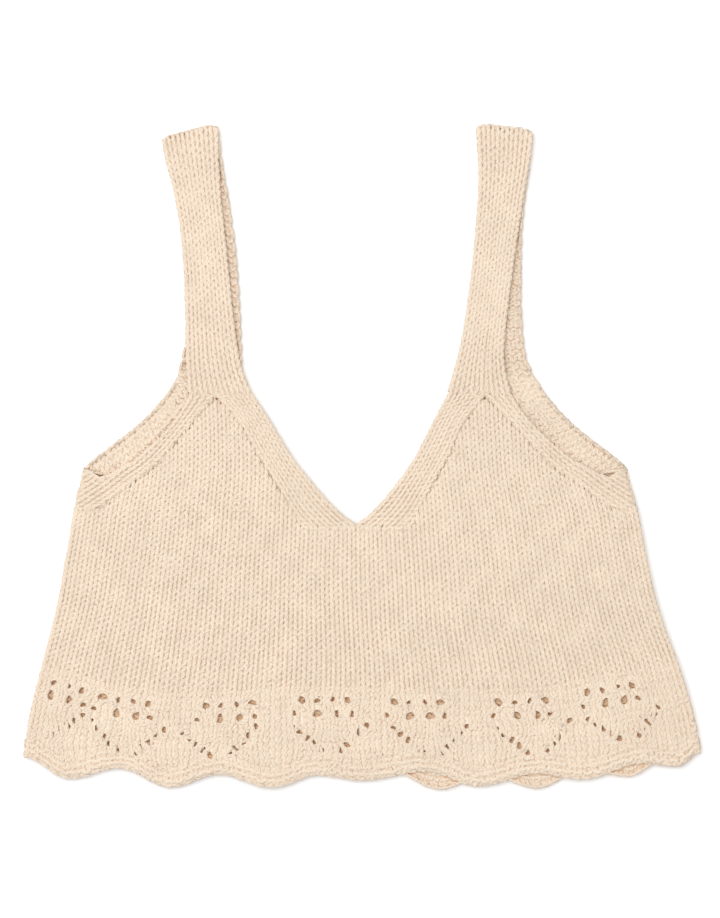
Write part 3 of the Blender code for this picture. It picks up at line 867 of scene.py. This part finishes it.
for layer in (BACK, FRONT):
    furrow = furrow_line(layer)
    for kind, sections in (("neck", layer.neck), ("armhole", layer.armhole)):
        count = BAND_COLUMNS[f"{layer.name}_{kind}"]
        underarm = layer is FRONT and kind == "armhole"
        extra = UNDERARM_COLUMNS if underarm else 0
        if underarm:
            edge = [(row.edge_out, row.edge_up) for row in sections[::-1]]
            edge_outs, edge_ups = np.array(edge).T
            sections = UNDERARM + sections[len(UNDERARM) :]
        length, lines = band_lines(sections, kind == "neck")
        rows = round(length[-1] / ROW)
        for hand_side, side_name in ((-1, "left"), (1, "right")):

            def band_plan(columns, row):
                """Where a place in the band lies, how far from its sides, and the way across."""
                columns = columns - extra
                at = row / rows * length[-1]
                edge_out, edge_up, far_out, far_up = (trace(at, length, line) for line in lines)
                share = columns / count
                across_out, across_up = far_out - edge_out, far_up - edge_up
                width = np.hypot(across_out, across_up)
                out, up = edge_out + share * across_out, edge_up + share * across_up
                from_edge = share * width
                if underarm:
                    below_edge = UNDERARM_SLANT * (np.interp(out, edge_outs, edge_ups) - up)
                    from_edge = np.where(out > UNDERARM_FROM, below_edge, from_edge)
                ahead_out, ahead_up = across_out / width, across_up / width
                return out, up, from_edge, width - share * width, ahead_out, ahead_up

            def above_furrow(out, up):
                """How far above the body's furrow a place lies."""
                return up - np.interp(np.abs(out) / half_width(up), *furrow)

            def band_point(columns, row):
                """Where a place in the band's stitches lies, and which way it faces."""
                out, up, from_edge, from_far, ahead_out, ahead_up = band_plan(columns, row)
                out = np.clip(out, NEAR_CENTRE, half_width(up))
                up = up + np.maximum(ABOVE_FURROW - above_furrow(out, up), 0)
                drop, sine, cosine = curl(from_edge)
                side_drop, side_sine, side_cosine = curl(half_width(up) - out)
                height = WALL / 2 - np.maximum(drop, side_drop)
                height = height - hollow(from_far, BAND_FURROW_DEPTH, FURROW_WIDTH)
                height = height - hollow(from_far - A_COLUMN, SECOND_FURROW_DEPTH, FURROW_WIDTH)
                x = read(BODY_LIE, layer.centre, up) + hand_side * out
                z = layer.inside + layer.side * height
                facing_x = hand_side * (side_sine - sine * ahead_out)
                facing_z = layer.side * cosine * side_cosine
                normals = np.stack([facing_x, -sine * ahead_up, facing_z], -1)
                return np.stack([x, up, z], -1), normals

            def within_band(columns, row):
                """Whether a course's middle line lies within the band."""
                out, up, from_edge, *_ = band_plan(columns, np.full(len(columns), row))
                inside = (above_furrow(out, up) > -PAST_FURROW) & (out > FROM_CENTRE)
                return inside & (out < half_width(up) + PAST_SIDE) & (from_edge > -TINY)

            first = -UNDERARM_ROWS if underarm else 0
            width = extra + count + SPARE_COLUMNS
            courses = knit(band_point, width, range(first, rows), within_band)
            name = f"{layer.name}_{kind}_band_{side_name}"
            fullness = FRONT_FULLNESS if layer is FRONT else BACK_FULLNESS
            yarns = joined(courses)
            if underarm:
                out = np.linspace(BOUND_OFF_FROM, BOUND_OFF_TO, BOUND_OFF_POINTS)
                up = np.interp(out, edge_outs, edge_ups) - BOUND_OFF_IN
                x = read(BODY_LIE, layer.centre, up) + hand_side * out
                z = layer.inside + layer.side * (WALL / 2 - curl(BOUND_OFF_IN)[0] + 0 * out)
                facing = np.tile([0.0, 0.0, layer.side], (len(out), 1))
                yarns.append((np.stack([x, up, z], -1), facing))
            stitches = [add_yarn(name + "_stitches", yarns, cream_cotton, fullness)]
            # The front bands' ground has the darker painted shade; the back's is plain cream.
            ground_cotton = crossing_loops if layer is FRONT else cream_cotton
            add_ground(name, ground_cotton, "laid")


# ---- The straps ------------------------------------------------------------------------------
# The neck and armhole bands knitted on together, six columns wide, from the front up over the
# shoulder and down to the back, where they are grafted. They lie folded in two at the shoulder,
# the back's half showing a little beside the front's.

STRAP_COLUMNS = 6
STRAP_ROW = 4.7
STRAP_FULLNESS = 0.93
CORNER = 8.0  # how far from the fold's corners their rounding begins
CORNER_DROP = 3.0  # how far they stay behind the fold's middle
STRAP_FURROWS = {"strap_left": 0.42, "strap_right": 0.6}  # where across it the two bands meet
STRAP_FURROW_LENGTH = 75.0  # it fades out this far up
STRAP_FURROW_DEPTH = 1.3
FOLD_PUFF = 2.2  # how far the fold's fluff stands out past the cloth
FOLD_HEIGHT = WALL + LAYER_GAP / 2
FOLD_RADIUS = (WALL + LAYER_GAP) / 2
FOLD_STEPS = 12
STRAP_STEPS = 12  # between one line and the next
Line = namedtuple("Line", "left_x left_up right_x right_up")
STRAPS = {
    "strap_left": (
        (
            Line(-117.0, 41.6, -74.2, 41.6),
            Line(-118.0, 58.0, -80.6, 57.0),
            Line(-118.4, 76.0, -84.4, 75.0),
            Line(-118.6, 100.0, -87.4, 98.0),
            Line(-119.6, 126.0, -90.0, 124.0),
            Line(-121.8, 152.0, -92.8, 151.0),
            Line(-126.2, 177.0, -95.6, 178.0),
            Line(-131.4, 197.0, -96.5, 201.0),
            Line(-134.3, 210.0, -96.8, 219.2),
        ),
        (
            Line(-134.3, 210.0, -96.8, 219.2),
            Line(-131.0, 195.0, -94.6, 199.0),
            Line(-124.0, 172.0, -90.6, 175.0),
            Line(-118.8, 146.0, -86.4, 146.0),
            Line(-116.5, 113.0, -83.4, 113.0),
            Line(-117.8, 82.0, -81.7, 80.0),
            Line(-121.4, 65.0, -81.0, 65.0),
            Line(-124.8, 51.6, -79.9, 51.6),
        ),
    ),
    "strap_right": (
        (
            Line(56.8, 41.6, 99.6, 41.6),
            Line(61.4, 57.0, 95.6, 57.0),
            Line(65.4, 72.0, 94.4, 72.0),
            Line(69.4, 94.0, 96.2, 93.0),
            Line(72.8, 119.0, 99.4, 119.0),
            Line(75.6, 147.0, 103.2, 146.0),
            Line(77.8, 176.0, 107.6, 174.0),
            Line(77.6, 199.0, 111.6, 196.0),
            Line(76.2, 218.8, 114.0, 214.8),
        ),
        (
            Line(76.2, 218.8, 114.0, 214.8),
            Line(79.0, 197.0, 112.0, 195.0),
            Line(78.0, 176.0, 108.8, 175.0),
            Line(76.0, 147.0, 106.4, 147.0),
            Line(75.0, 119.0, 106.0, 119.0),
            Line(75.4, 92.0, 106.4, 92.0),
            Line(74.6, 68.0, 109.2, 68.0),
            Line(71.3, 51.6, 116.2, 51.6),
        ),
    ),
}


def strap_stations(front, back):
    """Both edges of a strap and how far it has turned over, at fine steps from front to back."""
    stations = []
    for lines in (front, back):
        index = np.arange(len(lines))
        steps = np.linspace(0, len(lines) - 1, STRAP_STEPS * len(lines))
        ends = [smooth(index, values, steps) for values in np.array(lines).T]
        turn = np.full(len(steps), 0.0 if lines is front else pi)
        stations.append(np.array([*ends, turn]))
    turns = np.linspace(0, pi, FOLD_STEPS)[1:-1]
    fold = np.array([*(np.full(len(turns), value) for value in back[0]), turns])
    return np.hstack([stations[0], fold, stations[1]])


for name, (front, back) in STRAPS.items():
    left_x, left_up, right_x, right_up, turn = strap_stations(front, back)
    fold_width = np.hypot(back[0].right_x - back[0].left_x, back[0].right_up - back[0].left_up)
    ahead_x = (back[0].left_up - back[0].right_up) / fold_width
    ahead_up = (back[0].right_x - back[0].left_x) / fold_width
    bulge = FOLD_RADIUS * np.sin(turn)
    middle = np.stack(
        [
            (left_x + right_x) / 2 + bulge * ahead_x,
            (left_up + right_up) / 2 + bulge * ahead_up,
            FOLD_HEIGHT + FOLD_RADIUS * np.cos(turn),
        ]
    )
    length = np.r_[0, np.cumsum(np.linalg.norm(np.diff(middle, axis=1), axis=0))]
    fold_at = np.interp(pi / 2, turn, length)
    rows = round(length[-1] / STRAP_ROW)

    def strap_point(columns, row):
        """Where a place in the strap's stitches lies, and which way it faces."""
        at = row / rows * length[-1]
        share = columns / STRAP_COLUMNS
        lines = (left_x, left_up, right_x, right_up, turn)
        from_x, from_up, to_x, to_up, turned = (trace(at, length, line) for line in lines)
        ahead = np.sin(turned)
        outward = np.stack([ahead * ahead_x, ahead * ahead_up, np.cos(turned)], -1)
        across = np.stack([to_x - from_x, to_up - from_up, 0 * at], -1)
        width = np.linalg.norm(across, axis=1)
        drop, sine, cosine = curl(np.minimum(share, 1 - share) * width)
        from_furrow = (share - STRAP_FURROWS[name]) * width
        depth = STRAP_FURROW_DEPTH * np.clip(1 - at / STRAP_FURROW_LENGTH, 0, 1)
        drop = drop + hollow(from_furrow, depth, FURROW_WIDTH)
        start = np.stack([from_x, from_up, np.full(len(at), FOLD_HEIGHT)], -1)
        from_corner = np.clip(1 - np.minimum(share, 1 - share) * width / CORNER, 0, 1)
        near_fold = np.exp(-(((at - fold_at) / CORNER) ** 2))
        rise = (FOLD_PUFF - CORNER_DROP * from_corner**2) * near_fold
        points = start + share[:, None] * across + (FOLD_RADIUS - drop)[:, None] * outward
        points[:, :2] += rise[:, None] * (ahead_x, ahead_up)
        sideways = (np.where(share < 0.5, -1, 1) * sine / width)[:, None] * across
        return points, cosine[:, None] * outward + sideways

    courses = knit(strap_point, STRAP_COLUMNS, range(rows))
    yarn = add_yarn(name + "_stitches", joined(courses), cream_cotton, STRAP_FULLNESS)
    stitches = [yarn]
    # The strap's ground has the darker painted shade.
    add_ground(name, crossing_loops, "folded")


# ---- The studio ------------------------------------------------------------------------------
# The top lies on a plain white surface under broad soft light, a little stronger from the upper
# left, and is seen from straight above.

# Lengths are in metres from here on.
FLOOR_SIZE = 6.0
FLOOR_DROP = 0.0005  # how far below the top's underside it lies
floor_mesh = bpy.data.meshes.new("floor")
bm = bmesh.new()
bmesh.ops.create_grid(bm, x_segments=1, y_segments=1, size=FLOOR_SIZE / 2)
bm.to_mesh(floor_mesh)
bm.free()
floor = add_object("floor", floor_mesh)
floor.location.z = -FLOOR_DROP
paper = bpy.data.materials.new("white_paper")
paper.use_nodes = True
shader = paper.node_tree.nodes["Principled BSDF"]
shader.inputs["Base Color"].default_value = (0.93, 0.93, 0.93, 1)
shader.inputs["Roughness"].default_value = 0.9
floor_mesh.materials.append(paper)

world = bpy.data.worlds.new("soft_room")
world.use_nodes = True
sky = world.node_tree.nodes["Background"]
sky.inputs["Color"].default_value = (1, 1, 1, 1)
sky.inputs["Strength"].default_value = 0.8
bpy.context.scene.world = world

softbox = bpy.data.lights.new("softbox", "AREA")
softbox.shape = "DISK"
softbox.size = 2.4
softbox.energy = 42.0
lamp = add_object("softbox", softbox)
lamp.location = (-0.7, 0.6, 2.3)
lamp.rotation_euler = (-0.25, -0.3, 0)

PICTURE_AT = 0.005  # the height at which the picture is measured, near the cloth's upper side
PICTURE_HEIGHT = 0.6151
PICTURE_MIDDLE = (-0.0018, -0.0017)
CAMERA_HEIGHT = 2.4  # above it
camera_data = bpy.data.cameras.new("from_above")
camera_data.sensor_width = 36.0
camera_data.lens = camera_data.sensor_width * CAMERA_HEIGHT / PICTURE_HEIGHT
camera = add_object("from_above", camera_data)
camera.location = (*PICTURE_MIDDLE, CAMERA_HEIGHT + PICTURE_AT)
bpy.context.scene.camera = camera
bpy.context.scene.view_settings.view_transform = "Standard"
